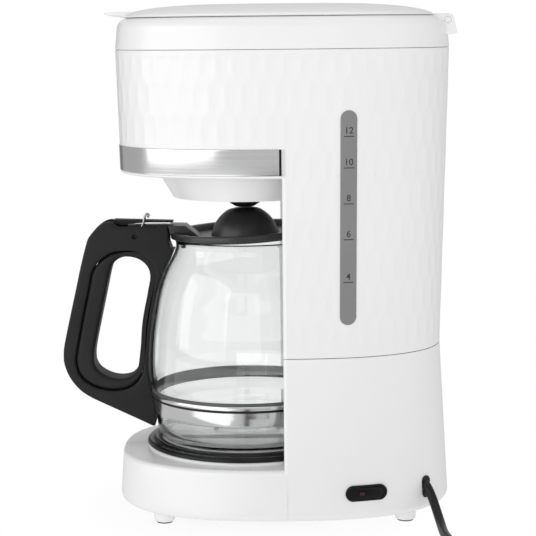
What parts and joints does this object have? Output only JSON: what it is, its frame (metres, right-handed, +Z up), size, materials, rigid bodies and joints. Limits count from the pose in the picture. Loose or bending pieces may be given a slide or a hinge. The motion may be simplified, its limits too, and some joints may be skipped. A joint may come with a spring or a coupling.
{
  "type": "drip coffee maker",
  "caption": "Free-standing drip coffee maker: rounded tower and head over a hotplate, hinged lid, lift-out filter, glass jug with lid, level window, rocker switch and coiled lead.",
  "frame": {"origin": "under the middle of the outline, handle and hinge included, on the surface the feet stand on", "axes": "+Z up, -Y to the front where the jug handle points, +X to the side with the level window"},
  "size_m": [0.3185, 0.2845, 0.3492],
  "materials": {
    "shell": "gloss white moulding",
    "inner_plastic": "plain white moulding",
    "black_plastic": "satin black moulding",
    "switch_black": "smooth black",
    "window": "smoked clear plastic",
    "band_steel": "polished stainless steel",
    "screw_steel": "plated steel",
    "pad_rubber": "soft pad",
    "silicone": "translucent silicone",
    "plate_coat": "dark non-stick coat",
    "cast_aluminium": "as cast",
    "ceramic": "glazed ceramic",
    "jug_glass": "clear glass",
    "cord_rubber": "black cord jacket",
    "wire_jacket": "wire jacket"
  },
  "bodies": {
    "housing": {"base_housing": "shell", "bottom_cover": "shell", "feet": "shell", "foot_pads": "pad_rubber", "base_screws": "screw_steel", "upper_housing": "shell", "level_window": "window", "head_band": "band_steel", "band_trims": "black_plastic", "collar": "shell", "lid_hinge_pin": "screw_steel", "filter_chamber": "shell", "reservoir": "inner_plastic", "check_valve": "screw_steel", "riser_tube": "silicone", "cold_hose": "silicone", "hot_hose": "silicone", "hose_clips": "screw_steel", "warming_plate": "plate_coat", "plate_ring": "black_plastic", "heater": "cast_aluminium", "element_ends": "screw_steel", "heater_bracket": "screw_steel", "thermostat": "screw_steel", "thermal_fuse": "ceramic", "switch_frame": "black_plastic", "rocker_pin": "screw_steel", "power_cord": "cord_rubber", "cord_coil": "cord_rubber", "cord_tail": "cord_rubber", "cord_gland": "cord_rubber", "plug": "cord_rubber", "plug_pins": "band_steel", "wiring": "wire_jacket"},
    "lid": {"brew_lid": "shell", "spray_head": "inner_plastic", "water_channel": "inner_plastic"},
    "basket": {"filter_basket": "black_plastic", "valve_spring": "screw_steel"},
    "drip_stop": {"drip_valve": "black_plastic", "valve_seal": "silicone"},
    "jug": {"carafe_glass": "jug_glass", "carafe_band": "band_steel", "band_screw": "screw_steel", "carafe_handle": "black_plastic", "jug_lid_pin": "screw_steel"},
    "jug_lid": {"carafe_lid": "black_plastic", "thumb_lever": "black_plastic", "lid_spring": "screw_steel"},
    "switch": {"rocker_switch": "switch_black"}
  },
  "joints": [
    {"name": "lid_hinge", "type": "hinge", "parent": "housing", "child": "lid", "pos_m": [0, 0.1293, 0.3371], "axis": [-1, 0, 0], "range_deg": [0, 100]},
    {"name": "basket_lift", "type": "slide", "parent": "housing", "child": "basket", "axis": [0, 0, 1], "range_m": [0, 0.1]},
    {"name": "jug_slide", "type": "slide", "parent": "housing", "child": "jug", "axis": [0, -1, 0], "range_m": [0, 0.35]},
    {"name": "valve_drop", "type": "slide", "parent": "basket", "child": "drip_stop", "axis": [0, 0, -1], "range_m": [0, 0.004], "deforming": ["valve_spring"]},
    {"name": "jug_lid_hinge", "type": "hinge", "parent": "jug", "child": "jug_lid", "pos_m": [0, -0.0845, 0.1908], "axis": [1, 0, 0], "range_deg": [0, 30]},
    {"name": "switch_rock", "type": "hinge", "parent": "housing", "child": "switch", "pos_m": [0.07636, 0.07083, 0.0277], "axis": [0, 0, 1], "range_deg": [0, 12]}
  ],
  "couplings": [
    {"joint": "basket_lift", "follows": "lid_hinge", "m_per_rad": 0.0572},
    {"joint": "valve_drop", "follows": "jug_slide", "ratio": 0.0114},
    {"joint": "jug_lid_hinge", "follows": "jug_slide", "rad_per_m": 1.49}
  ]
}
